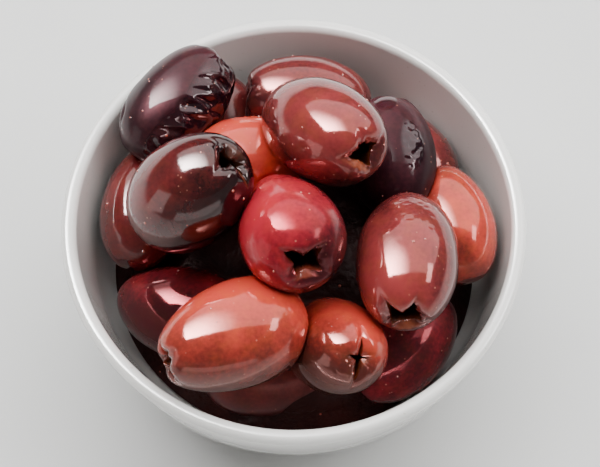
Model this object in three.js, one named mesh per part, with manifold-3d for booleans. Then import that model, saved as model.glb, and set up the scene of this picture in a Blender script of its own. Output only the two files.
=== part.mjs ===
// A dish of pitted olives: a small round porcelain dish, and the olives heaped in it.
// Millimetres, +Z up. The origin is the middle of the foot ring's underside, on the dish's axis.
import * as THREE from "three";
import { mergeVertices } from "three/addons/utils/BufferGeometryUtils.js";
import Module from "manifold-3d";

const wasm = await Module();
wasm.setup();

// ---- Driving dimensions -------------------------------------------------------------------

const dish = {
  rimRadius: 44.5, // outside of the rim
  height: 33, // foot to the top of the rim
  wall: 3, // at the rim, and about the same all the way down
  floorTop: 4, // the flat inside floor, above the table
  floorRadius: 24, // where the floor starts to curve up
  footRadius: 25.5, // outside of the foot ring
  footWidth: 3,
  footDepth: 1.8, // how far the ring stands below the dish's underside
  flare: 2.2, // how far the inside leans out over its upper, straight part
  bellyHeight: 20, // where the inside's curve meets the straight part
  facets: 48,
};

const heap = {
  clearance: 0.35, // between the olives and the dish
  coreBrim: 15, // how high the packed middle stands against the wall
  coreInset: 3, // how far its dome starts in from there
  coreTop: 28, // its highest point, under the topmost olives
  coreFacets: 24,
};

const olive = {
  rings: 11, // facets from end to end
  facets: 16, // facets round the waist
  blunt: 0.06, // how much fuller the whole half is than the pitted half, unless a row says
};

// The torn mouth that the pitting tool leaves in one end: a star of short slits round a hole.
const mouth = { arms: 4, reach: 3.9, waist: 1.7, depth: 5, proud: 1.5 };

// Each olive: where its middle lies, and the way that its pitted end points, as a heading
// round +Z from +X and a rise above the level. length and girth are its two diameters.
// A buried end has no mouth, because nothing of it is seen. An olive that is slimmer at its
// whole end has a blunt value below zero.
const olives = [
  // the top of the heap
  { at: [5.4, 12.4, 45.5], heading: -47, rise: 33, length: 31.5, girth: 19.1, blunt: -0.04, open: true },
  { at: [-19, 0.5, 44], heading: 15, rise: 49, length: 28.5, girth: 20.4, open: true },
  { at: [-1.3, -5.1, 42.1], heading: -74, rise: 32, length: 29.5, girth: 18.2, blunt: -0.42, open: true },
  { at: [21, -11.5, 39], heading: -95, rise: 13, length: 29, girth: 19.2, blunt: 0.02, open: true },
  // the shoulder below it
  { at: [-11.5, -25.2, 36.1], heading: 204, rise: 8, length: 30.5, girth: 19.9, blunt: 0.16, open: true },
  { at: [8, -24.5, 29], heading: -54, rise: 54, length: 27.5, girth: 18.2, open: true },
  { at: [-10, 12.5, 31.5], heading: 12, rise: 4, length: 26.5, girth: 18.2, open: false },
  { at: [18.9, 14, 32.1], heading: 96, rise: -2, length: 26.5, girth: 17.6, open: true },
  { at: [2, 27, 30], heading: 177, rise: 7, length: 27.5, girth: 18, open: true },
  // the ring that lies against the wall
  { at: [-22.5, 23.5, 35.5], heading: 50, rise: 10, length: 28, girth: 17.6, open: true },
  { at: [-21.5, -14.5, 20.5], heading: 160, rise: -9, length: 27.5, girth: 18.4, blunt: 0.15, open: false },
  { at: [30.8, 1.2, 27], heading: 103, rise: 7, length: 24.5, girth: 16.6, open: false },
  { at: [22, 20.5, 19.5], heading: 138, rise: 4, length: 26, girth: 16.6, open: false },
  { at: [21, -20, 17], heading: 45, rise: 6, length: 26.5, girth: 17.6, open: false },
  { at: [-5, -24.5, 14], heading: 5, rise: 0, length: 26, girth: 16.8, open: false },
  { at: [-29, 6.5, 24.5], heading: 80, rise: 0, length: 27, girth: 17.6, open: false },
  { at: [-13, 24.4, 19], heading: 104, rise: 34, length: 26.5, girth: 16, open: false },
];

// ---- Helpers ------------------------------------------------------------------------------

// A closed three.js geometry as a manifold-3d solid.
function solidOf(geometry) {
  const bare = geometry.index ? geometry.toNonIndexed() : geometry.clone();
  for (const name of Object.keys(bare.attributes)) {
    if (name !== "position") bare.deleteAttribute(name);
  }
  const merged = mergeVertices(bare, 1e-4);
  return new wasm.Manifold(
    new wasm.Mesh({
      numProp: 3,
      vertProperties: merged.attributes.position.array,
      triVerts: new Uint32Array(merged.index.array),
    }),
  );
}

function geometryOf(solid) {
  const mesh = solid.getMesh();
  const geometry = new THREE.BufferGeometry();
  geometry.setAttribute("position", new THREE.BufferAttribute(mesh.vertProperties, 3));
  geometry.setIndex(new THREE.BufferAttribute(mesh.triVerts, 1));
  geometry.computeVertexNormals();
  return geometry;
}

// A lathe about +Z. The points are [radius, height], and run up the outside with the axis on
// their left, so that the faces point outwards.
function turned(points, facets) {
  const profile = points.map(([r, z]) => new THREE.Vector2(r, z));
  return new THREE.LatheGeometry(profile, facets).rotateX(Math.PI / 2);
}

// The direction of a heading and a rise, both in degrees.
function direction(heading, rise) {
  const [h, r] = [heading, rise].map(THREE.MathUtils.degToRad);
  return new THREE.Vector3(
    Math.cos(h) * Math.cos(r),
    Math.sin(h) * Math.cos(r),
    Math.sin(r),
  );
}

// ---- The dish -----------------------------------------------------------------------------

// The inside of the dish from the floor's middle to the rim, moved in or out by a distance.
function insideCurve(offset, steps = 7) {
  const lip = dish.rimRadius - dish.wall;
  const straightFoot = lip - dish.flare;
  const curve = new THREE.CubicBezierCurve(
    new THREE.Vector2(dish.floorRadius, dish.floorTop - offset),
    new THREE.Vector2(straightFoot - 6 + offset, dish.floorTop - offset),
    new THREE.Vector2(straightFoot - 1 + offset, dish.bellyHeight - 9),
    new THREE.Vector2(straightFoot + offset, dish.bellyHeight),
  );
  return curve.getPoints(steps).map((p) => [p.x, p.y]);
}

function dishGeometry() {
  const { rimRadius, height, wall, footRadius, footWidth, footDepth } = dish;
  const round = wall / 2;
  const rim = Array.from({ length: 6 }, (_, i) => {
    const turn = (Math.PI * i) / 5;
    return [rimRadius - round + round * Math.cos(turn), height - round + round * Math.sin(turn)];
  });
  const underside = insideCurve(wall).filter(([, z]) => z > footDepth + 0.8);
  return turned(
    [
      [0, footDepth],
      [footRadius - footWidth, footDepth],
      [footRadius - footWidth, 0],
      [footRadius, 0],
      [footRadius + 0.6, footDepth],
      ...underside,
      ...rim,
      ...insideCurve(0).reverse(),
      [0, dish.floorTop],
    ],
    dish.facets,
  );
}

// ---- The olives ---------------------------------------------------------------------------

function oliveSolid({ at, heading, rise, length, girth, blunt = olive.blunt }) {
  const outline = Array.from({ length: olive.rings + 1 }, (_, i) => {
    const turn = (Math.PI * i) / olive.rings;
    const along = -Math.cos(turn);
    const radius = (girth / 2) * Math.sin(turn) * (1 - blunt * along);
    return new THREE.Vector2(i % olive.rings ? radius : 0, (length / 2) * along);
  });
  const geometry = new THREE.LatheGeometry(outline, olive.facets);
  return solidOf(placed(geometry, at, direction(heading, rise)));
}

// Turns a geometry's own +Y to a direction, and then moves it.
function placed(geometry, at, way) {
  const turn = new THREE.Quaternion().setFromUnitVectors(new THREE.Vector3(0, 1, 0), way);
  return geometry.applyQuaternion(turn).translate(...at);
}

function mouthSolid({ at, heading, rise, length }) {
  const star = new THREE.Shape();
  for (let i = 0; i < mouth.arms * 2; i++) {
    const turn = (Math.PI * i) / mouth.arms;
    const reach = i % 2 ? mouth.waist : mouth.reach;
    star[i ? "lineTo" : "moveTo"](reach * Math.cos(turn), reach * Math.sin(turn));
  }
  star.closePath();
  const way = direction(heading, rise);
  const tool = new THREE.ExtrudeGeometry(star, {
    depth: mouth.depth + mouth.proud,
    bevelEnabled: false,
  });
  tool.rotateX(-Math.PI / 2);
  const start = new THREE.Vector3(...at).addScaledVector(way, length / 2 - mouth.depth);
  return solidOf(placed(tool, start.toArray(), way));
}

// The packed middle of the heap, which fills the dish under the olives that show.
function coreSolid() {
  const side = insideCurve(-heap.clearance).filter(([, z]) => z < heap.coreBrim);
  const brim = side.at(-1)[0];
  const dome = Array.from({ length: 6 }, (_, i) => {
    const turn = (Math.PI / 2) * (i / 6);
    return [
      (brim - heap.coreInset) * Math.cos(turn),
      heap.coreBrim + (heap.coreTop - heap.coreBrim) * Math.sin(turn),
    ];
  });
  const outline = [
    [0, dish.floorTop + heap.clearance],
    ...side,
    ...dome,
    [0, heap.coreTop],
  ];
  return solidOf(turned(outline, heap.coreFacets));
}

function heapGeometry() {
  let whole = coreSolid();
  for (const each of olives) whole = whole.add(oliveSolid(each));
  for (const each of olives) {
    if (each.open) whole = whole.subtract(mouthSolid(each));
  }
  return geometryOf(whole);
}

// ---- The object ---------------------------------------------------------------------------

function piece(name, geometry, material) {
  const mesh = new THREE.Mesh(geometry, new THREE.MeshStandardMaterial(material));
  mesh.name = name;
  return mesh;
}

const dishOfOlives = new THREE.Group();
dishOfOlives.add(
  piece("dish", dishGeometry(), { color: 0xf3f2ee, roughness: 0.15, metalness: 0 }),
  piece("olives", heapGeometry(), { color: 0x6b2023, roughness: 0.2, metalness: 0 }),
);

export default dishOfOlives;
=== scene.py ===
# %% [markdown]
# # A dish of olives
#
# A small white porcelain dish, heaped with pitted olives that are wet with brine. The packed
# part gives the true sizes: the dish, and one rough solid for the whole heap. This lesson keeps
# those sizes and makes what the eye looks for: round glazed porcelain, and olives that are
# each a little different, press on their neighbours and show the torn mouth where the stone
# was pushed out.

import math
from dataclasses import dataclass

import bpy
import numpy as np
from mathutils import Matrix, Vector


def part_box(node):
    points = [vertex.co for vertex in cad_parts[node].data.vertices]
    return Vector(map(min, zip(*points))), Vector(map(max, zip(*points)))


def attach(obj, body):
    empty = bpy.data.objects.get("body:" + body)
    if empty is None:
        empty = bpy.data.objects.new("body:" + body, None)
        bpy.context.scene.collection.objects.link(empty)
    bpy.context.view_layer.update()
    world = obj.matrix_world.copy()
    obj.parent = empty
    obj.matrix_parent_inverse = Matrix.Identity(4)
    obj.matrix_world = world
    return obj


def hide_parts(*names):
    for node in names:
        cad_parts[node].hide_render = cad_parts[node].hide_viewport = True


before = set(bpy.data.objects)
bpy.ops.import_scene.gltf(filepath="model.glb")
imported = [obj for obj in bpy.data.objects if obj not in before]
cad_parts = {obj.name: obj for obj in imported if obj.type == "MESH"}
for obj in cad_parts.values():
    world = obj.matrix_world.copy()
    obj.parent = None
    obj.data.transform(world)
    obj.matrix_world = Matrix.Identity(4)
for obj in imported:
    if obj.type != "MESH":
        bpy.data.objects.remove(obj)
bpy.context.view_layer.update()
dish_low, dish_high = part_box("dish")

# %% [markdown]
# ## Units and small tools
#
# An olive is a few centimetres long, so its sizes read best in millimetres. Blender works in
# metres, and the meshes are scaled once, as they are made. Headings and rises say which way an
# olive points: the heading turns round +Z from +X, and the rise is the angle above the level.

# %% Millimetres, directions and soft limits
MM = 0.001


def direction(heading, rise):
    h, r = math.radians(heading), math.radians(rise)
    return np.array([math.cos(h) * math.cos(r), math.sin(h) * math.cos(r), math.sin(r)])


def unit(vector):
    return vector / np.linalg.norm(vector)


def smooth(value, low, high):
    """0 below low, 1 above high, and an S-curve between them."""
    t = np.clip((value - low) / (high - low), 0, 1)
    return t * t * (3 - 2 * t)


def soft_part(value, width):
    """What is above zero, with the corner at zero rounded over a width."""
    scaled = np.clip(value / width, -30, 30)
    return width * np.log1p(np.exp(scaled))


def lumps(points, size, seed):
    """A smooth pattern from about -1 to 1 in space, with lumps of one size."""
    draw = np.random.default_rng(seed)
    total = np.zeros(points.shape[:-1])
    waves = 7
    for _ in range(waves):
        way = unit(draw.normal(size=3)) * draw.uniform(0.7, 1.4) * math.tau / (2 * size)
        total += np.sin(points @ way + draw.uniform(0, math.tau))
    return total / math.sqrt(waves)


print("one millimetre is", MM, "m")

# %% [markdown]
# ## Nodes as sums
#
# Shaders and Geometry Nodes are both graphs of nodes, and graphs are slow to read as a list of
# links. A small class wraps one output, so that a pattern is written as a sum, and one method
# adds any other node from its type, its settings and the values of its sockets.


# %% One class for outputs and one for node trees
class Wire:
    """An output socket that can be added, multiplied and so on."""

    def __init__(self, net, socket):
        self.net, self.socket = net, socket

    def __add__(self, other):
        return self.net.math("ADD", self, other)

    def __sub__(self, other):
        return self.net.math("SUBTRACT", self, other)

    def __rsub__(self, other):
        return self.net.math("SUBTRACT", other, self)

    def __mul__(self, other):
        return self.net.math("MULTIPLY", self, other)

    __radd__, __rmul__ = __add__, __mul__


class Net:
    """A node tree, and the ways to add a node to it."""

    def __init__(self, tree):
        self.tree = tree

    def node(self, kind, settings=None, sockets=None, out=0):
        made = self.tree.nodes.new(kind)
        for name, value in (settings or {}).items():
            setattr(made, name, value)
        for key, value in (sockets or {}).items():
            self.feed(made.inputs[key], value)
        return Wire(self, made.outputs[out]) if len(made.outputs) else made

    def feed(self, socket, value):
        if isinstance(value, Wire):
            self.tree.links.new(value.socket, socket)
        else:
            socket.default_value = value

    def math(self, operation, *values):
        return self.node("ShaderNodeMath", {"operation": operation}, dict(enumerate(values)))

    def step(self, value, low, high):
        """0 below low, 1 above high, and an S-curve between them."""
        sockets = {"Value": value, "From Min": low, "From Max": high}
        return self.node("ShaderNodeMapRange", {"interpolation_type": "SMOOTHSTEP"}, sockets)

    def blend(self, factor, first, second, how="MIX"):
        settings = {"data_type": "RGBA", "blend_type": how, "clamp_factor": True}
        return self.node("ShaderNodeMix", settings, {0: factor, 6: first, 7: second}, out=2)

    def noise(self, place, size, detail=2.0, **sockets):
        """Cloudy noise whose clouds are about a size across, in millimetres."""
        sockets = {"Vector": place, "Scale": 1 / (size * MM), "Detail": detail, **sockets}
        return self.node("ShaderNodeTexNoise", None, sockets)

    def attribute(self, name):
        return self.node("ShaderNodeAttribute", {"attribute_name": name}, out=2)

    def place(self):
        return self.node("ShaderNodeTexCoord", out=3)


def shader_net(name):
    material = bpy.data.materials.new(name)
    material.use_nodes = True
    material.node_tree.nodes.clear()
    return material, Net(material.node_tree)


def principled(net, **sockets):
    """A Principled surface. Underscores in the socket names stand for spaces."""
    sockets = {name.replace("_", " "): value for name, value in sockets.items()}
    return net.node("ShaderNodeBsdfPrincipled", None, sockets)


def finish_surface(net, surface):
    net.node("ShaderNodeOutputMaterial", None, {"Surface": surface})


print("node helpers ready")

# %% [markdown]
# ## The dish's outline
#
# A dish like this is jiggered: a turning mould shapes the clay, so every section through the
# axis is the same. One outline is enough, from the middle of the underside, over the foot and
# the rim, and back to the middle of the floor. It could be drawn as a Bezier curve by hand;
# arcs and one Bezier stretch worked out from a few sizes keep it true to the solid.

# %% The outline from a few sizes
RIM_RADIUS = dish_high.x / MM
HEIGHT = 33
WALL = 3
FLOOR_TOP = 4
FLOOR_RADIUS = 24
FOOT_RADIUS = 25.5
FOOT_WIDTH = 3
FOOT_DEPTH = 1.8
FLARE = 2.2
BELLY_HEIGHT = 20
LIP_RADIUS = RIM_RADIUS - WALL


def bezier(corners, steps):
    t = np.linspace(0, 1, steps)[:, None]
    a, b, c, d = (np.array(corner, float) for corner in corners)
    return (1 - t) ** 3 * a + 3 * (1 - t) ** 2 * t * b + 3 * (1 - t) * t**2 * c + t**3 * d


def inside_curve(offset, steps=26):
    """The inside from the floor to where the wall runs straight, moved by an offset."""
    belly = LIP_RADIUS - FLARE
    return bezier(
        [
            (FLOOR_RADIUS, FLOOR_TOP - offset),
            (belly - 6 + offset, FLOOR_TOP - offset),
            (belly - 1 + offset, BELLY_HEIGHT - 9),
            (belly + offset, BELLY_HEIGHT),
        ],
        steps,
    )


def arc(middle, radius, start, end, steps):
    turn = np.radians(np.linspace(start, end, steps))
    return np.column_stack([middle[0] + radius * np.cos(turn), middle[1] + radius * np.sin(turn)])


def dish_outline():
    rim = arc((RIM_RADIUS - WALL / 2, HEIGHT - WALL / 2), WALL / 2, 0, 180, 17)
    under = inside_curve(WALL)
    under = under[under[:, 1] > FOOT_DEPTH + 0.8]
    edge = 0.4
    foot_in, foot_out = FOOT_RADIUS - FOOT_WIDTH, FOOT_RADIUS
    foot = np.vstack(
        [
            [(foot_in - 0.8, FOOT_DEPTH), (foot_in - 0.15, FOOT_DEPTH - 0.3)],
            arc((foot_in + edge, edge), edge, 180, 270, 5),
            arc((foot_out - edge, edge), edge, 270, 360, 5),
            [(foot_out + 0.15, FOOT_DEPTH - 0.3)],
        ]
    )
    return np.vstack([[(0, FOOT_DEPTH)], foot, under, rim, inside_curve(0)[::-1], [(0, FLOOR_TOP)]])


outline = dish_outline()
wall_curve = np.vstack([inside_curve(0), [(LIP_RADIUS, HEIGHT - WALL / 2)]])
print("outline of", len(outline), "points, up to radius", round(outline[:, 0].max(), 2), "mm")


def wall_radius(height):
    """How far the inside of the dish is from its axis, at a height."""
    return np.interp(height, wall_curve[:, 1], wall_curve[:, 0])


# %% [markdown]
# ## Turning the outline into a dish
#
# The Spin tool or a Screw modifier would turn the outline. Here Geometry Nodes does it, as a
# potter's wheel would: the outline is swept round a circle, the points that meet on the axis
# are merged, and the number of sides is an input. A plain mesh is taken from the result.


# %% A Geometry Nodes wheel
def tree_with(name, inputs):
    """A Geometry Nodes tree with named inputs, its net, and the wires from those inputs."""
    tree = bpy.data.node_groups.new(name, "GeometryNodeTree")
    tree.interface.new_socket("Geometry", in_out="OUTPUT", socket_type="NodeSocketGeometry")
    sockets = {"Geometry": "NodeSocketGeometry", **inputs}
    for label, kind in sockets.items():
        tree.interface.new_socket(label, in_out="INPUT", socket_type=kind)
    net = Net(tree)
    entry = tree.nodes.new("NodeGroupInput")
    wires = {label: Wire(net, entry.outputs[label]) for label in sockets}
    return tree, net, wires


def plain_mesh(name, start, tree, values):
    """Runs a tree on a mesh, and returns a plain object with the result."""
    maker = bpy.data.objects.new(name + "_maker", start)
    bpy.context.scene.collection.objects.link(maker)
    modifier = maker.modifiers.new("made", "NODES")
    modifier.node_group = tree
    for socket in tree.interface.items_tree:
        if socket.in_out == "INPUT" and socket.name in values:
            modifier[socket.identifier] = values[socket.name]
    bpy.context.view_layer.update()
    evaluated = maker.evaluated_get(bpy.context.evaluated_depsgraph_get())
    mesh = bpy.data.meshes.new_from_object(evaluated)
    mesh.name = name
    bpy.data.objects.remove(maker)
    made = bpy.data.objects.new(name, mesh)
    bpy.context.scene.collection.objects.link(made)
    return made


def wheel_tree():
    inputs = {
        "Sides": "NodeSocketInt",
        "Radius": "NodeSocketFloat",
        "Glaze": "NodeSocketMaterial",
    }
    tree, net, wires = tree_with("wheel", inputs)
    section = net.node("GeometryNodeMeshToCurve", None, {"Mesh": wires["Geometry"]})
    circle = {"Resolution": wires["Sides"], "Radius": wires["Radius"]}
    circle = net.node("GeometryNodeCurvePrimitiveCircle", {"mode": "RADIUS"}, circle)
    swept = {"Curve": circle, "Profile Curve": section}
    swept = net.node("GeometryNodeCurveToMesh", None, swept)
    merged = {"Geometry": swept, "Distance": 0.00002}
    merged = net.node("GeometryNodeMergeByDistance", None, merged)
    smoothed = net.node("GeometryNodeSetShadeSmooth", None, {"Geometry": merged})
    real = net.node("GeometryNodeRealizeInstances", None, {"Geometry": smoothed})
    glazed = {"Geometry": real, "Material": wires["Glaze"]}
    glazed = net.node("GeometryNodeSetMaterial", None, glazed)
    net.node("NodeGroupOutput", None, {0: glazed})
    return tree


# %% [markdown]
# ## Glazed porcelain
#
# White porcelain is warm rather than blue, and a clear glaze lies on it like a coat of glass.
# The glaze is never quite flat: it waves by a hair over a centimetre. The foot ring is wiped
# clean of glaze before firing, so that it doesn't stick to the shelf, and stays matte.


# %% The porcelain material
def porcelain():
    material, net = shader_net("porcelain")
    place = net.place()
    height = net.node("ShaderNodeSeparateXYZ", None, {0: place}, out=2)
    glazed = net.step(height, 0.0002, 0.0009)
    cloud = net.noise(place, 14)
    body = net.blend(cloud, (0.80, 0.785, 0.75, 1), (0.845, 0.835, 0.81, 1))
    speck = net.step(net.noise(place, 0.55, 0), 0.80, 0.86)
    body = net.blend(speck * 0.35, body, (0.45, 0.38, 0.30, 1))
    colour = net.blend(glazed, (0.66, 0.62, 0.55, 1), body)
    wave = {"Height": net.noise(place, 9, 1), "Strength": 0.10, "Distance": 0.0004}
    glaze = principled(
        net,
        Base_Color=colour,
        Roughness=0.55 - glazed * 0.33,
        Coat_Weight=glazed,
        Coat_Roughness=0.05,
        Normal=net.node("ShaderNodeBump", None, wave),
    )
    finish_surface(net, glaze)
    return material


def profile_mesh(name, points):
    """The outline as a chain of edges. The wheel adds its own radius, so that is taken off."""
    mesh = bpy.data.meshes.new(name)
    corners = [((r - RIM_RADIUS) * MM, -z * MM, 0) for r, z in points[::-1]]
    mesh.from_pydata(corners, [(i, i + 1) for i in range(len(corners) - 1)], [])
    return mesh


wheel = {"Sides": 224, "Radius": RIM_RADIUS * MM, "Glaze": porcelain()}
dish = plain_mesh("dish_porcelain", profile_mesh("dish_profile", outline), wheel_tree(), wheel)
low, high = (Vector(c) for c in (dish.bound_box[0], dish.bound_box[6]))
print("dish:", len(dish.data.polygons), "faces, from", low, "to", high)

# %% [markdown]
# ## The olives, one by one
#
# The heap is not scattered at random: each olive that shows has its own place, size, ripeness
# and mouth. A row gives the middle, the way that the pitted end points, and the two
# diameters, all as in the solid heap. Ripeness runs from 0, darkest of its kind, to 1. The
# riper and lit side is an arrow: towards it the skin is riper and carries painted light, away
# from it painted shade, and a longer arrow makes more of both. A mouth is a list of tears,
# going round it from the right by way of the top: each with its angle, its reach, and how near
# the middle the flap comes that hangs between it and the next one.


# %% What is known of each olive
@dataclass
class Mouth:
    tears: tuple  # (angle, reach, flap): each tear, and the flap between it and the next one
    turn_in: float = 1.9  # how far the flaps are pushed in
    funnel: float = 0.9  # how far the skin sinks towards the mouth
    bare: tuple = ()  # (angle, half width, length, how bare): where flesh shows beside the lip
    sharp: float = 1.7  # how fast the tears narrow away from the hole
    crease: float = 0.26  # how deep the skin folds in along a tear


@dataclass
class Olive:
    name: str
    middle: tuple
    heading: float
    rise: float
    length: float
    girth: float
    kind: str
    ripe: float
    riper_and_lit_side: tuple = (0, 0, 0.3)  # how much riper, with painted light, it is towards +X, +Y and +Z, and painted shade the other way
    mouth: Mouth = None
    blunt: float = 0.06  # how much fuller the whole half is than the pitted half
    creases: int = 0  # long folds, on shrivelled olives
    crinkles: tuple = ()  # (way, spread, size, height): where the skin is finely crinkled
    dull: float = 0  # how much less it shines than a smooth wet one, outside the crinkles
    nose: float = 0  # how far the pitted end is drawn out
    seed: int = 0


CROSS = Mouth(((20, 3.6, 1.6), (105, 3.9, 1.5), (195, 3.5, 1.7), (290, 3.8, 1.5)))
TOP_MOUTH = Mouth(((48, 3.0, 1.7), (122, 2.7, 1.7), (196, 3.9, 1.9), (305, 3.3, 1.7)), 1.3, 1.2,
                  ((250, 44, 1.3, 0.9),), 2.2)
LEFT_MOUTH = Mouth(((-59, 3.9, 1.9), (-18, 3.4, 0.8), (116, 2.6, 2.0), (209, 3.6, 0.6)), 1.5, 1.0,
                   ((49, 45, 1.8, 0.6), (-75, 14, 2.6, 1.0)), 2.2)
CENTRE_MOUTH = Mouth(((-22, 4.0, 2.6), (50, 4.4, 1.5), (150, 4.8, 1.9), (240, 2.6, 1.4)), 1.6, 1.0,
                     ((280, 36, 1.1, 0.9),), 1.9)
RIGHT_MOUTH = Mouth(((-20, 3.6, 2.6), (63, 4.6, 1.2), (128, 5.0, 2.6), (226, 3.5, 1.7)), 1.5, 0.8,
                    ((280, 38, 1.5, 1.0), (92, 12, 0.5, 0.7)), 2.4)
NEAR_MOUTH = Mouth(((4, 1.7, 0.45), (86, 3.9, 0.6), (164, 2.6, 0.95), (262, 4.6, 0.5)), 1.4,
                   1.0, ((315, 30, 0.8, 0.7),), 3.4, 0.16)
OLIVES = [
    Olive("top", (5.4, 12.4, 45.5), -47, 33, 31.5, 19.1, "chestnut", 0.14, (-0.1, -0.15, 0.5),
          TOP_MOUTH, -0.04),
    Olive("left", (-19, 0.5, 44), 15, 49, 28.5, 20.4, "black", 0.25, (-0.4, 0.05, 0.1),
          LEFT_MOUTH),
    Olive("centre", (-1.3, -5.1, 42.1), -74, 32, 29.5, 18.2, "wine", 0.48, (-0.38, 0.25, 0.10),
          CENTRE_MOUTH, -0.42, 0, (((-0.9, 0, 0.4), 0.5, 1.1, 0.02),), 0.22, 1.3),
    Olive("right", (21, -11.5, 39), -95, 13, 29, 19.2, "chestnut", 0.28, (-0.2, -0.1, 0.35),
          RIGHT_MOUTH, 0.02, 0, (((0.1, 0.45, 0.9), 0.10, 0.9, 0.04),)),
    Olive("near_left", (-11.5, -25.2, 36.1), 204, 8, 30.5, 19.9, "rust", 0.46, (0.12, 0.42, 0.20),
          CROSS, 0.16, 0, (((0.85, 0.25, 0.5), 0.2, 1.2, 0.035), ((0.45, -0.5, 0.75), 0.03, 0.6, 0.03))),
    Olive("near", (8, -24.5, 29), -54, 54, 27.5, 18.2, "rust", 0.32, (0.3, 0.6, 0.2),
          NEAR_MOUTH, 0.06, 0, (((0.8, -0.4, 0.5), 0.3, 1.4, 0.05),)),
    Olive("inner", (-10, 12.5, 31.5), 12, 4, 26.5, 18.2, "rust", 0.6, (0, 0.2, 0.3)),
    Olive("far_right", (18.9, 14, 32.1), 96, -2, 26.5, 17.6, "plum", 0.15, (-0.1, 0.2, 0.1),
          CROSS, 0.06, 2, (((0.42, -0.05, 0.9), 0.05, 1, 0.10), ((-0.1, 0.6, 0.8), 0.06, 3, 0)), 0.9),
    Olive("far", (2, 27, 30), 177, 7, 27.5, 18, "chestnut", 0.2, (0.1, 0.1, 0.2), CROSS, dull=0.1),
    Olive("far_left", (-22.5, 23.5, 35.5), 50, 10, 28, 17.6, "plum", 0.05, (0, 0.1, 0.2),
          CROSS, 0.06, 3, (((0.8, -0.2, 0.6), 0.3, 1.8, 0.22), ((0.3, -0.8, 0.5), 0.2, 1.5, 0.12)), 0.7),
    Olive("low_left", (-21.5, -14.5, 20.5), 160, -9, 27.5, 18.4, "wine", 0.12, (0, 0.5, 0.05),
          None, 0.15),
    Olive("low_right", (30.8, 1.2, 27), 103, 7, 24.5, 16.6, "rust", 0.25, (0.1, 0, 0.3)),
    Olive("far_low", (22, 20.5, 19.5), 138, 4, 26, 16.6, "chestnut", 0.2),
    Olive("near_right", (21, -20, 17), 45, 6, 26.5, 17.6, "wine", 0.1, (0, -0.2, 0.1)),
    Olive("near_low", (-5, -24.5, 14), 5, 0, 26, 16.8, "chestnut", 0.15, dull=0.5),
    Olive("low_far_left", (-29, 6.5, 24.5), 80, 0, 27, 17.6, "black", 0.4),
    Olive("back_low", (-13, 24.4, 19), 104, 34, 26.5, 16, "black", 0.3, dull=0.4),
]
for number, olive in enumerate(OLIVES):
    olive.seed = 11 + 7 * number
print(len(OLIVES), "olives,", sum(o.mouth is not None for o in OLIVES), "with a mouth that shows")

# %% [markdown]
# ## The form of an olive
#
# An olive could be a sphere, sculpted. A grid of rings works better here, because the torn
# mouth needs rings of its own: rings run from the whole end over the belly, then towards the
# mouth, where each follows the star of slits more closely, over the lip, and down inside the
# hollow that the stone left. Every ring has the same number of points, so the skin and the
# hollow are one closed surface.

# %% Rings of one olive
SIDES = 128
BODY_RINGS = 84
MOUTH_RINGS = 26
MOUTH_ZONE = 7.5  # radius at which the skin starts to sink towards the mouth
TEAR_WIDTH = math.radians(12)
HOLLOW_RADIUS = 2.5
HOLLOW_DEPTH = 9.5
WALL_DEPTHS = (0.25, 0.6, 1.0, 1.5, 2.1, 2.8, 3.6, 4.5, 5.5, 6.5, 7.4, 8.2, 8.9, 9.3)


def apart(turn, angle):
    """How far angles are from one that is given in degrees, in radians up to half a turn."""
    return np.abs((turn - math.radians(angle) + math.pi) % math.tau - math.pi)


def star(mouth, turn, seed):
    """For each angle: how far out the lip is, and how much of a tear it is there."""
    lip, tear = np.zeros_like(turn), np.zeros_like(turn)
    for (angle, reach, flap), (next_angle, next_reach, _) in zip(
        mouth.tears, mouth.tears[1:] + mouth.tears[:1]
    ):
        span = math.radians((next_angle - angle) % 360)
        past = (turn - math.radians(angle)) % math.tau
        share = np.abs(2 * past / span - 1)
        tip = np.where(past < span / 2, reach, next_reach)
        lip = np.where(past < span, flap + (tip - flap) * share**mouth.sharp, lip)
        tear = np.maximum(tear, np.exp(-((apart(turn, angle) / TEAR_WIDTH) ** 2)))
    ragged = 0.05 * np.sin(turn * 9 + seed) + 0.02 * np.sin(turn * 17 + 2 * seed)
    return lip, tear, np.maximum(ragged, 0.3 - lip)


def bare_flesh(mouth, turn, near, lip, seed):
    """Where the torn skin has left flesh bare beside the lip, from 0 to 1."""
    bare = np.zeros_like(near)
    from_lip = (1 - near) * (MOUTH_ZONE - lip) + 0.3 * np.sin(turn * 11 + seed) * (1 - near)
    for angle, width, length, amount in mouth.bare:
        there = amount * np.exp(-((apart(turn, angle) / math.radians(width)) ** 4))
        bare = np.maximum(bare, there * (1 - smooth(from_lip, 0.75 * length, length + 0.2)))
    return bare


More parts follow.
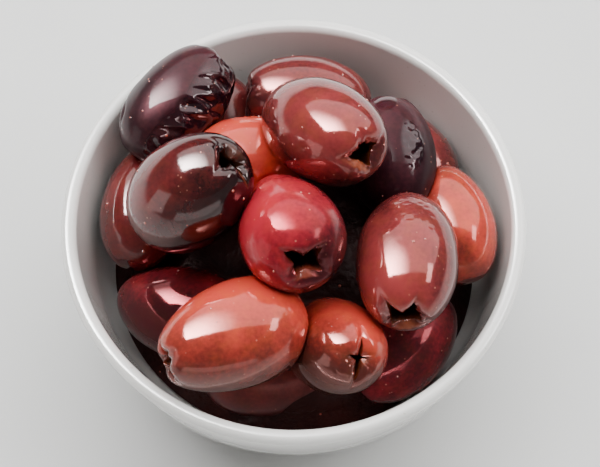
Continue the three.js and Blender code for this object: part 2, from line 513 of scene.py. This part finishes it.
def ring_grid(olive):
    """Along, out and turn for each point, how near the lip, and how fleshy: above 1 is painted shade, up
    to 2 deep inside.
    """
    half, radius = olive.length / 2, olive.girth / 2
    turn = np.linspace(0, math.tau, SIDES, endpoint=False)
    fine = np.linspace(-math.pi / 2, math.pi / 2, 2000)
    fine_out = radius * np.cos(fine) * (1 - olive.blunt * np.sin(fine))
    last = math.pi / 2
    if olive.mouth:
        falling = fine > 0.45
        last = np.interp(-MOUTH_ZONE, -fine_out[falling], fine[falling])
    angle = np.linspace(-math.pi / 2, last, BODY_RINGS + 1)
    angle = np.repeat(angle[:, None], SIDES, 1)
    near = np.zeros_like(angle)
    if olive.mouth:
        lip, tear, ragged = star(olive.mouth, turn, olive.seed)
        at_lip = np.interp(-lip, -fine_out[falling], fine[falling])
        way = 1 - (1 - np.linspace(0, 1, MOUTH_RINGS + 1)[1:, None]) ** 1.6
        angle = np.vstack([angle, last + (at_lip - last) * way - ragged * way**6 / radius])
        near = np.vstack([near, np.repeat(way, SIDES, 1)])
    along = half * np.sin(angle)
    out = radius * np.cos(angle) * (1 - olive.blunt * np.sin(angle))
    fleshy = np.zeros_like(out)
    if olive.mouth:
        fleshy = bare_flesh(olive.mouth, turn, near, lip, olive.seed)
        sink = olive.mouth.funnel * near**2 + olive.mouth.turn_in * (1 - tear) * near**4
        swell = 0.20 * (1 - tear) * np.exp(-(((near - 0.6) / 0.22) ** 2))
        crease = olive.mouth.crease * tear * smooth(near, 0.4, 0.9)
        nose = olive.nose * np.exp(-((out / 6) ** 2)) * (angle > 0)
        along = along - sink + swell - crease + nose
        along, out, near, fleshy = add_hollow(along, out, near, fleshy, turn, olive)
    return along, out, np.repeat(turn[None], len(out), 0), near, fleshy


def add_hollow(along, out, near, fleshy, turn, olive):
    """Adds the rings from the lip down to the bottom of the hollow."""
    lip_along, lip_out = along[-1], out[-1]
    bottom = olive.length / 2 - HOLLOW_DEPTH
    rings = []
    for depth in WALL_DEPTHS:
        share = depth / WALL_DEPTHS[-1]
        open_out = smooth(depth, 0.3, 5.5)
        uneven = HOLLOW_RADIUS * (1 + 0.07 * np.sin(turn * 5 + olive.seed + depth))
        close = math.sqrt(max(0.0, 1 - share**6))
        rounded = lip_out - 0.12 * math.sin(min(depth, 0.6) / 0.6 * math.pi)
        ring_out = (rounded * (1 - open_out) + uneven * open_out) * max(close, 0.05)
        rings.append((lip_along + (bottom - lip_along) * share, ring_out, depth))
    along = np.vstack([along, *[r[0] for r in rings]])
    out = np.vstack([out, *[r[1] for r in rings]])
    near = np.vstack([near, np.ones((len(rings), SIDES))])
    depths = np.array([r[2] for r in rings])[:, None]
    # Flesh sets in over the first half millimetre; past 1, painted shade deepens from 0.3 to 2.4 mm
    # down.
    inside = smooth(depths, 0.0, 0.5) + smooth(depths, 0.3, 2.4)
    fleshy = np.vstack([fleshy, np.repeat(inside, SIDES, 1)])
    return along, out, near, fleshy


print("an olive with a mouth has", SIDES * (BODY_RINGS + MOUTH_RINGS + len(WALL_DEPTHS)), "points")

# %% [markdown]
# ## Uneven skin, and olives that press on each other
#
# A ring grid alone gives eggs from a mould. Real skin rises and falls by about a tenth of a
# millimetre, is puckered round the mouth, and on shrivelled olives has creases. And where two
# olives touch, both flatten: a point that would lie inside a neighbour is pushed back to a
# surface midway between the two, which leaves a hair's gap and a soft dent.

# %% Skin relief
GAP = 0.32
CAMERA_RISE = math.radians(66)
PICTURE_UP = np.array([0, math.sin(CAMERA_RISE), math.cos(CAMERA_RISE)])


def in_space(olive, along, out, turn):
    """Grid values to points in the dish, and the axes they were measured on."""
    way = direction(olive.heading, olive.rise)
    up = unit(PICTURE_UP - (PICTURE_UP @ way) * way)
    right = np.cross(up, way)
    round_about = np.cos(turn)[..., None] * right + np.sin(turn)[..., None] * up
    points = np.array(olive.middle) + along[..., None] * way + out[..., None] * round_about
    lean = (2 * out / olive.girth)[..., None] * round_about / olive.girth
    lean = lean + (2 * along / olive.length)[..., None] * way / olive.length
    outward = lean / np.maximum(np.linalg.norm(lean, axis=-1, keepdims=True), 1e-9)
    return points, outward


def towards(outward, way, spread):
    """1 where the surface looks a given way, and 0 from a spread of cosines off it."""
    return smooth(outward @ unit(np.array(way, float)), 1 - spread, 1 - spread / 2)


def relief(olive, points, outward, along, turn, near, fleshy):
    """How far each point of the skin stands out, in millimetres."""
    high = 0.11 * lumps(points, 9, olive.seed) + 0.018 * lumps(points, 2.8, olive.seed + 1)
    pucker = np.sin(turn * 11 + 2 * np.sin(turn * 3 + olive.seed) + 3 * near)
    high += 0.025 * pucker * smooth(near, 0.15, 0.75)
    for way, spread, size, height in olive.crinkles:
        there = towards(outward, way, spread)
        ridges = 1 - 2 * np.abs(lumps(points, size, olive.seed + 5))
        high += height * there * ridges
    draw = np.random.default_rng(olive.seed + 2)
    for _ in range(olive.creases):
        start, bend = draw.uniform(0, math.tau), draw.uniform(-0.5, 0.5)
        middle, reach = draw.uniform(-0.4, 0.4) * olive.length, draw.uniform(4, 9)
        line = start + bend * along / 8 + 0.16 * np.sin(along * 0.7 + start)
        away = (turn - line + math.pi) % math.tau - math.pi
        fade = np.exp(-(((along - middle) / reach) ** 2))
        high += fade * (0.22 * np.exp(-((away / 0.30) ** 2)) - 0.75 * np.exp(-((away / 0.09) ** 2)))
    dimple = np.exp(-(((along + olive.length / 2) / 0.5) ** 2))
    return (high - 0.5 * dimple) * (1 - np.minimum(fleshy, 1))


# %% Pressing
def depth_inside(points, other):
    """About how deep points are inside another olive, negative outside."""
    away = points - np.array(other.middle)
    along = away @ direction(other.heading, other.rise)
    share = along / (other.length / 2)
    across = np.sqrt(np.maximum((away**2).sum(-1) - along**2, 0))
    belly = other.girth / 2 * (1 - other.blunt * np.clip(share, -1, 1))
    level = np.sqrt(share**2 + (across / belly) ** 2)
    distance = np.sqrt((away**2).sum(-1))
    return distance * (1 / np.maximum(level, 1e-6) - 1)


def outward_of(points, other):
    """The way out of another olive, at points near its surface."""
    away = points - np.array(other.middle)
    way = direction(other.heading, other.rise)
    along = (away @ way)[..., None] * way
    lean = along / (other.length / 2) ** 2 + (away - along) / (other.girth / 2) ** 2
    return lean / np.maximum(np.linalg.norm(lean, axis=-1, keepdims=True), 1e-9)


def pressed(olive, points):
    moved = points.copy()
    for other in OLIVES:
        spacing = np.linalg.norm(np.subtract(other.middle, olive.middle))
        if other is olive or spacing > (other.length + olive.length) / 2:
            continue
        push = soft_part((depth_inside(points, other) + GAP) / 2, 0.12)
        push = np.where(push > 0.01, push, 0)
        moved += push[..., None] * outward_of(points, other)
    out = np.hypot(moved[..., 0], moved[..., 1])
    over = soft_part(out - (wall_radius(moved[..., 2]) - GAP), 0.1)
    over = np.where(moved[..., 2] < HEIGHT + 1, over, 0)
    moved[..., :2] *= (1 - over / np.maximum(out, 1))[..., None]
    return moved


def grow(olive):
    """The points of one olive, in rings, and what its material is to know of each."""
    along, out, turn, near, fleshy = ring_grid(olive)
    points, outward = in_space(olive, along, out, turn)
    high = relief(olive, points, outward, along, turn, near, fleshy)
    points = pressed(olive, points + high[..., None] * outward)
    # Riper towards the arrow, with painted light on the side it points to and painted shade on the side
    # away from it.
    ripe = olive.ripe + outward @ np.array(olive.riper_and_lit_side)
    ripe += 0.07 * lumps(points, 7, olive.seed + 3) + 0.05 * lumps(points, 2.5, olive.seed + 4)
    # The skin is darker where it sinks towards the mouth.
    ripe -= 0.08 * smooth(near, 0.5, 1.0)
    dull = np.full_like(near, olive.dull)
    for way, spread, *_ in olive.crinkles:
        dull *= 1 - towards(outward, way, spread)
    # Deep is the amount of painted shade in the hollow.
    flesh, deep = np.minimum(fleshy, 1), np.maximum(fleshy - 1, 0)
    return points, {"ripe": np.clip(ripe, 0, 1), "flesh": flesh, "deep": deep, "dull": dull}


grown = {olive.name: grow(olive) for olive in OLIVES}
tallest = max(points[..., 2].max() for points, _ in grown.values())
print("the heap's top is at", round(tallest, 1), "mm")

# %% [markdown]
# ## From rings to meshes
#
# The olives of one kind are joined into one mesh, because they share a material. What differs
# from point to point is stored on the mesh as attributes that the material reads: how ripe the
# skin is, with its painted light and shade, how dull, where the flesh is bare, and how deep in
# the hollow it lies, for painted shade there.


# %% Joining the olives of a kind
def ring_faces(rings, sides, start):
    """Quads between the rings, and a fan at each end, facing outwards."""
    first = start + np.arange(rings)[:, None] * sides + np.arange(sides)[None]
    after = np.roll(first, -1, axis=1)
    quads = np.stack([first[:-1], after[:-1], after[1:], first[1:]], -1).reshape(-1, 4)
    low_pole, high_pole = start + rings * sides, start + rings * sides + 1
    low_fan = [(low_pole, int(b), int(a)) for a, b in zip(first[0], after[0])]
    high_fan = [(high_pole, int(a), int(b)) for a, b in zip(first[-1], after[-1])]
    return quads.tolist() + low_fan + high_fan


def joined(name, parts, material):
    """One object from (points, attributes) in rings, with a pole at each end."""
    corners, faces, values = [], [], {}
    count = 0
    for points, attributes in parts:
        points = points[1:] if np.ptp(points[0], axis=0).max() < 1e-6 else points
        rings, sides, _ = points.shape
        poles = np.stack([points[0].mean(0), points[-1].mean(0)])
        corners.append(np.vstack([points.reshape(-1, 3), poles]) * MM)
        faces += ring_faces(rings, sides, count)
        for key, value in attributes.items():
            value = value[-rings:]
            ends = [value[0].mean(), value[-1].mean()]
            values.setdefault(key, []).append(np.concatenate([value.ravel(), ends]))
        count += rings * sides + 2
    mesh = bpy.data.meshes.new(name)
    mesh.from_pydata(np.vstack(corners).tolist(), [], faces)
    for key, value in values.items():
        stored = mesh.attributes.new(key, "FLOAT", "POINT")
        stored.data.foreach_set("value", np.concatenate(value).astype(np.float32))
    mesh.shade_smooth()
    mesh.materials.append(material)
    made = bpy.data.objects.new(name, mesh)
    bpy.context.scene.collection.objects.link(made)
    return made


# %% [markdown]
# ## Olive skin
#
# Under its shine an olive is mottled: darker, riper and browner patches run into each other,
# with fine pale pores, and the ripeness from the mesh also carries painted light and shade. A
# film of brine lies on it, so the skin is smooth and mirrors the lights. What it mirrors takes
# on some of its own red, which the tint of the mirror gives, and a thin clear coat adds the
# white of the sharpest glints. Dull olives mirror less, except where they are crinkled and wet.
# Light also goes a little way into the flesh, which keeps the dark ones from looking painted.
# Inside the mouth there is no skin, only torn flesh: browner and rougher, with painted shade
# that darkens it deeper in the hollow. It is a second surface, mixed in where the mesh says so.

# %% Skin material
KINDS = {
    # name: (darkest skin, ripest skin, flesh, tint of what it reflects, how strongly, coat)
    "black": (
        (0.008, 0.002, 0.003), (0.16, 0.018, 0.018), (0.13, 0.030, 0.012), (1, 0.8, 0.78), 0.7, 0.1
    ),
    "plum": (
        (0.008, 0.002, 0.004), (0.10, 0.018, 0.026), (0.13, 0.030, 0.014), (1, 0.4, 0.45), 0.2, 0.8
    ),
    "wine": (
        (0.035, 0.008, 0.010), (0.42, 0.019, 0.034), (0.34, 0.050, 0.022), (1, 0.15, 0.18), 0.55, 0.05
    ),
    "chestnut": (
        (0.034, 0.008, 0.010), (0.27, 0.035, 0.035), (0.32, 0.062, 0.016), (1, 0.35, 0.32), 1.0, 0.2
    ),
    "rust": (
        (0.070, 0.016, 0.013), (0.56, 0.054, 0.036), (0.36, 0.068, 0.018), (1, 0.35, 0.30), 1.0, 0.2
    ),
}


def skin(name, dark, light, flesh, tint, shine, coat):
    material, net = shader_net(name)
    place = net.place()
    ripe, fleshy, deep, dull = (net.attribute(k) for k in ("ripe", "flesh", "deep", "dull"))
    cloud = net.noise(place, 5.5, 3)
    mottle = net.noise(place, 0.8, 5)
    mix = net.step(ripe + (cloud - 0.5) * 0.26 + (mottle - 0.5) * 0.40, 0.05, 0.95)
    colour = net.blend(mix, (*dark, 1), (*light, 1))
    warm = net.step(net.noise(place, 2.8, 4), 0.42, 0.70)
    colour = net.blend(warm * 0.6, colour, (1.0, 1.4, 0.85, 1), "MULTIPLY")
    cells = {"Vector": place, "Scale": 1 / (1.6 * MM)}
    spot = net.node("ShaderNodeTexVoronoi", {"feature": "F1"}, cells)
    pore = (1 - net.step(spot, 0.06, 0.14)) * net.step(net.noise(place, 4, 1), 0.48, 0.58)
    colour = net.blend(pore * 0.45, colour, (0.60, 0.26, 0.18, 1))
    pitted = {"Height": net.noise(place, 2.4, 1) + net.noise(place, 0.55, 2) * 0.5}
    skin_bump = net.node("ShaderNodeBump", None, {**pitted, "Strength": 0.08, "Distance": 0.0002})
    surface = principled(
        net,
        Base_Color=colour,
        Roughness=0.09 + dull * 0.4,
        Specular_IOR_Level=shine,
        Specular_Tint=(*tint, 1),
        Subsurface_Weight=0.12,
        Subsurface_Radius=(1.0, 0.28, 0.16),
        Subsurface_Scale=0.0016,
        Coat_Weight=coat * (1 - dull),
        Coat_Roughness=0.03,
        Coat_IOR=1.5,
        Normal=skin_bump,
    )
    torn = net.noise(place, 0.8, 3)
    fibres = {"Height": torn, "Strength": 0.6, "Distance": 0.0004}
    shreds = net.blend(torn, tuple(0.3 * x for x in flesh) + (1,), (*flesh, 1))
    inside = principled(
        net,
        # Painted shade: deep in the hollow the flesh is painted almost black.
        Base_Color=net.blend(deep, shreds, tuple(0.08 * x for x in flesh) + (1,)),
        Roughness=0.25 + torn * 0.3,
        Specular_IOR_Level=0.25,
        Subsurface_Weight=0.2,
        Subsurface_Radius=(1.0, 0.3, 0.15),
        Subsurface_Scale=0.001,
        Normal=net.node("ShaderNodeBump", None, fibres),
    )
    finish_surface(net, net.node("ShaderNodeMixShader", None, {0: fleshy, 1: surface, 2: inside}))
    return material


heap = []
for kind, colours in KINDS.items():
    parts = [grown[olive.name] for olive in OLIVES if olive.kind == kind]
    heap.append(joined("olives_" + kind, parts, skin("skin_" + kind, *colours)))
    print(heap[-1].name, len(parts), "olives,", len(heap[-1].data.polygons), "faces")

# %% [markdown]
# ## What lies under them
#
# Below the olives that show there are more, in the dark. They are never seen as olives, only
# as a deep shade between the ones on top, so one lumpy core fills the dish. Its lumps are
# about half as wide as an olive, and its colour is painted shade: near black, with a little red.

# %% The core
CORE_TOP = 28
CORE_BRIM = 11.5
CORE_INSET = 3


def core_rings():
    side = inside_curve(-0.5, 20)
    side = side[side[:, 1] < CORE_BRIM]
    turn = np.linspace(0, math.tau, 120, endpoint=False)
    brim = side[-1, 0]
    bottom = [(brim * 0.05 + (side[0, 0] - brim * 0.05) * t, side[0, 1]) for t in (0, 0.5, 1)]
    dome = [
        ((brim - CORE_INSET) * math.cos(math.pi / 2 * t), CORE_BRIM + (CORE_TOP - CORE_BRIM) * t**0.7)
        for t in np.linspace(0.06, 0.97, 34)
    ]
    outline = np.array(bottom + [tuple(p) for p in side[1:]] + dome)
    out, high = outline[:, 0, None], np.repeat(outline[:, 1, None], len(turn), 1)
    points = np.stack([out * np.cos(turn), out * np.sin(turn), high], -1)
    free = smooth(points[..., 2], CORE_BRIM, CORE_BRIM + 3)
    points[..., 2] += free * 1.8 * lumps(points * (1, 1, 0), 9, 5)
    return points


def painted_shade_core():
    material, net = shader_net("painted_shade_core")
    place = net.place()
    cloud = net.noise(place, 6, 3)
    # Painted shade: the core's colour is the near black of the gaps between the olives.
    colour = net.blend(cloud, (0.008, 0.002, 0.002, 1), (0.040, 0.007, 0.006, 1))
    rough = {"Height": net.noise(place, 1.5, 3), "Strength": 0.5, "Distance": 0.001}
    shade = principled(
        net,
        Base_Color=colour,
        Roughness=0.4,
        Specular_IOR_Level=0.12,
        Normal=net.node("ShaderNodeBump", None, rough),
    )
    finish_surface(net, shade)
    return material


core = joined("core", [(core_rings(), {})], painted_shade_core())
print("core:", len(core.data.polygons), "faces")

# %% [markdown]
# ## Drops of brine
#
# A few small drops stand on the skins and catch the light. They follow a rule, any place on the
# upper skins and any of a range of sizes, so Geometry Nodes scatters them: points on
# the faces that look up, a flattened drop on each, and everything made real at the end.


# %% Scattering the drops
def drop_tree():
    inputs = {
        "Per square metre": "NodeSocketFloat",
        "Smallest": "NodeSocketFloat",
        "Largest": "NodeSocketFloat",
        "Seed": "NodeSocketInt",
        "Brine": "NodeSocketMaterial",
    }
    tree, net, wires = tree_with("drops", inputs)
    normal = net.node("GeometryNodeInputNormal")
    upwards = net.node("ShaderNodeSeparateXYZ", None, {0: normal}, out=2)
    compare = {"data_type": "FLOAT", "operation": "GREATER_THAN"}
    chosen = net.node("FunctionNodeCompare", compare, {0: upwards, 1: 0.15})
    spread = {
        "Mesh": wires["Geometry"],
        "Selection": chosen,
        "Density": wires["Per square metre"],
        "Seed": wires["Seed"],
    }
    points = tree.nodes.new("GeometryNodeDistributePointsOnFaces")
    for key, value in spread.items():
        net.feed(points.inputs[key], value)
    drop = net.node("GeometryNodeMeshIcoSphere", None, {"Radius": 1.0, "Subdivisions": 3})
    flat = {"Geometry": drop, "Scale": (1, 1, 0.62)}
    flat = net.node("GeometryNodeTransform", None, flat)
    flat = net.node("GeometryNodeSetShadeSmooth", None, {"Geometry": flat})
    size = {2: wires["Smallest"], 3: wires["Largest"], 8: wires["Seed"]}
    size = net.node("FunctionNodeRandomValue", {"data_type": "FLOAT"}, size, out=1)
    placed = {
        "Points": Wire(net, points.outputs["Points"]),
        "Instance": flat,
        "Rotation": Wire(net, points.outputs["Rotation"]),
        "Scale": size,
    }
    placed = net.node("GeometryNodeInstanceOnPoints", None, placed)
    real = net.node("GeometryNodeRealizeInstances", None, {"Geometry": placed})
    wet = {"Geometry": real, "Material": wires["Brine"]}
    wet = net.node("GeometryNodeSetMaterial", None, wet)
    net.node("NodeGroupOutput", None, {0: wet})
    return tree


def brine():
    material, net = shader_net("brine")
    stain = net.noise(net.place(), 3, 1)
    colour = net.blend(stain, (0.30, 0.05, 0.035, 1), (0.50, 0.12, 0.08, 1))
    wet = principled(
        net, Base_Color=colour, Roughness=0.08, Coat_Weight=1.0, Coat_Roughness=0.02
    )
    finish_surface(net, wet)
    return material


def upper_skins():
    """The skins of all the olives as one mesh, for the drops to stand on."""
    parts = [(points, {}) for points, _ in grown.values()] + [(core_rings(), {})]
    lent = joined("lent_skins", parts, heap[0].data.materials[0])
    mesh = lent.data
    bpy.data.objects.remove(lent)
    return mesh


scatter = {
    "Per square metre": 10000.0,
    "Smallest": 0.10 * MM,
    "Largest": 0.30 * MM,
    "Seed": 4,
    "Brine": brine(),
}
drops = plain_mesh("brine_drops", upper_skins(), drop_tree(), scatter)
print("drops:", len(drops.data.polygons) // 320)

# %% [markdown]
# ## Floor, light and camera
#
# Wet skins are mirrors, so the lights are shapes as much as brightness. One large soft box
# hangs over the dish, a little behind it: its picture lies on every olive. A second light of
# the same size is bright at its near left corner alone, so that the picture fades from white to
# pink, and a third one is kept out of the mirrors and only lights the skins. The white floor and
# the dish give the pale bands along the edges. Low panels in front and on the left fill the
# undersides, and a small light on the right gives the last sparkle.


# %% A pale floor that curves up far away
def pale_paper():
    material, net = shader_net("pale_paper")
    fibre = net.noise(net.place(), 30, 2)
    colour = net.blend(fibre, (0.62, 0.62, 0.61, 1), (0.66, 0.66, 0.65, 1))
    finish_surface(net, principled(net, Base_Color=colour, Roughness=0.8))
    return material


def floor_rings():
    """A round floor, with a curve and a wall a metre and a half away, seen from inside."""
    reach, curve, tall = 1500, 350, 900
    turn = np.linspace(0, math.tau, 96, endpoint=False)
    bend = arc((reach, curve), curve, 270, 360, 12)
    outline = np.vstack([[(60, 0), (400, 0), (reach, 0)], bend, [(reach + curve, tall)]])
    out, high = outline[:, 0, None], np.repeat(outline[:, 1, None], len(turn), 1)
    return np.stack([out * np.cos(turn), out * np.sin(turn), high], -1)


def floor_object():
    points = floor_rings()
    rings, sides, _ = points.shape
    first = np.arange(rings)[:, None] * sides + np.arange(sides)[None]
    after = np.roll(first, -1, axis=1)
    quads = np.stack([first[:-1], first[1:], after[1:], after[:-1]], -1).reshape(-1, 4)
    middle = first[0].tolist()
    mesh = bpy.data.meshes.new("floor")
    mesh.from_pydata((points.reshape(-1, 3) * MM).tolist(), [], quads.tolist() + [middle])
    mesh.shade_smooth()
    mesh.materials.append(pale_paper())
    made = bpy.data.objects.new("floor", mesh)
    bpy.context.scene.collection.objects.link(made)
    return made


floor = floor_object()

# %% Camera
TARGET = Vector((1.1667, 0.0, 30)) * MM
CAMERA_WAY = Vector((0, -math.cos(CAMERA_RISE), math.sin(CAMERA_RISE)))
CAMERA_UP = Vector((0, math.sin(CAMERA_RISE), math.cos(CAMERA_RISE)))
CAMERA_RIGHT = Vector((1, 0, 0))
CAMERA_DISTANCE = 330 * MM
SCALE = 5.2  # picture points for each millimetre at the target
LOWERED = 8.6  # picture points by which the view is lowered, so that the dish is in its middle
IMAGE_WIDTH = 600
SENSOR = 36

camera = bpy.data.objects.new("camera", bpy.data.cameras.new("camera"))
bpy.context.scene.collection.objects.link(camera)
camera.location = TARGET + CAMERA_WAY * CAMERA_DISTANCE
camera.rotation_euler = (-CAMERA_WAY).to_track_quat("-Z", "Y").to_euler()
camera.data.sensor_width = SENSOR
camera.data.lens = SCALE * CAMERA_DISTANCE / MM * SENSOR / IMAGE_WIDTH
camera.data.shift_y = -LOWERED / IMAGE_WIDTH
camera.data.clip_start = 0.01
bpy.context.scene.camera = camera
print("lens:", round(camera.data.lens, 1), "mm")


# %% Lights
def aimed_light(name, right, up, distance, width, height, radiance):
    """A rectangular light, placed by angles right of and above the line to the camera."""
    across, tilt = math.radians(right), math.radians(up)
    outward = CAMERA_WAY * math.cos(tilt) + CAMERA_UP * math.sin(tilt)
    outward = outward * math.cos(across) + CAMERA_RIGHT * math.sin(across)
    upward = CAMERA_UP * math.cos(tilt) - CAMERA_WAY * math.sin(tilt)
    data = bpy.data.lights.new(name, "AREA")
    data.shape, data.size, data.size_y = "RECTANGLE", width, height
    data.energy = radiance * math.pi * width * height
    made = bpy.data.objects.new(name, data)
    bpy.context.scene.collection.objects.link(made)
    made.location = TARGET + outward * distance
    axes = Matrix((upward.cross(outward), upward, outward)).transposed()
    made.rotation_euler = axes.to_euler()
    made.visible_camera = False
    return made


def only_a_corner(light):
    """Fades a light out from its lower left corner, faster across than upwards."""
    light.data.use_nodes = True
    net = Net(light.data.node_tree)
    net.tree.nodes.clear()
    share = net.node("ShaderNodeNewGeometry", out=5)
    scaled = {0: share, 1: (1.9, 1.2, 0.0)}
    scaled = net.node("ShaderNodeVectorMath", {"operation": "MULTIPLY"}, scaled)
    away = net.node("ShaderNodeVectorMath", {"operation": "LENGTH"}, {0: scaled}, out=1)
    shine = net.node("ShaderNodeEmission", None, {"Strength": 1 - net.step(away, 0.2, 1.0)})
    net.node("ShaderNodeOutputLight", None, {"Surface": shine})


BOX_WAY, BOX_DISTANCE, BOX_SIZE = (7, 58), 0.55, (1.48, 0.76)
STEP_APART = 0.01  # lights in one plane would hide each other
soft_box = aimed_light("soft_box", *BOX_WAY, BOX_DISTANCE, *BOX_SIZE, 2.8)
box_fill = aimed_light("box_fill", *BOX_WAY, BOX_DISTANCE + STEP_APART, *BOX_SIZE, 2.4)
box_fill.visible_glossy = False
hot_corner = aimed_light("hot_corner", *BOX_WAY, BOX_DISTANCE - STEP_APART, *BOX_SIZE, 100)
only_a_corner(hot_corner)
hot_corner.visible_diffuse = False
front_panel = aimed_light("front_panel", 0, -66, 0.60, 0.7, 0.2, 1.2)
left_panel = aimed_light("left_panel", -65, -42, 0.60, 0.28, 0.28, 1.4)
right_spark = aimed_light("right_spark", 50, 20, 0.5, 0.10, 0.18, 12)

world = bpy.data.worlds.new("dim_room")
world.use_nodes = True
world.node_tree.nodes["Background"].inputs["Color"].default_value = (0.15, 0.15, 0.15, 1)
bpy.context.scene.world = world
lights = (soft_box, box_fill, hot_corner, front_panel, left_panel, right_spark)
print("lights:", [light.name for light in lights])

# %% [markdown]
# ## What stands for what
#
# The turned dish stands for the dish's solid, and the olives with the core for the heap's. All
# of it is one body, so all of it rides on the root.

# %% Fit the pieces to the part
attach(dish, "root")
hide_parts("dish")
for piece in (*heap, core, drops):
    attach(piece, "root")
    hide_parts("olives")
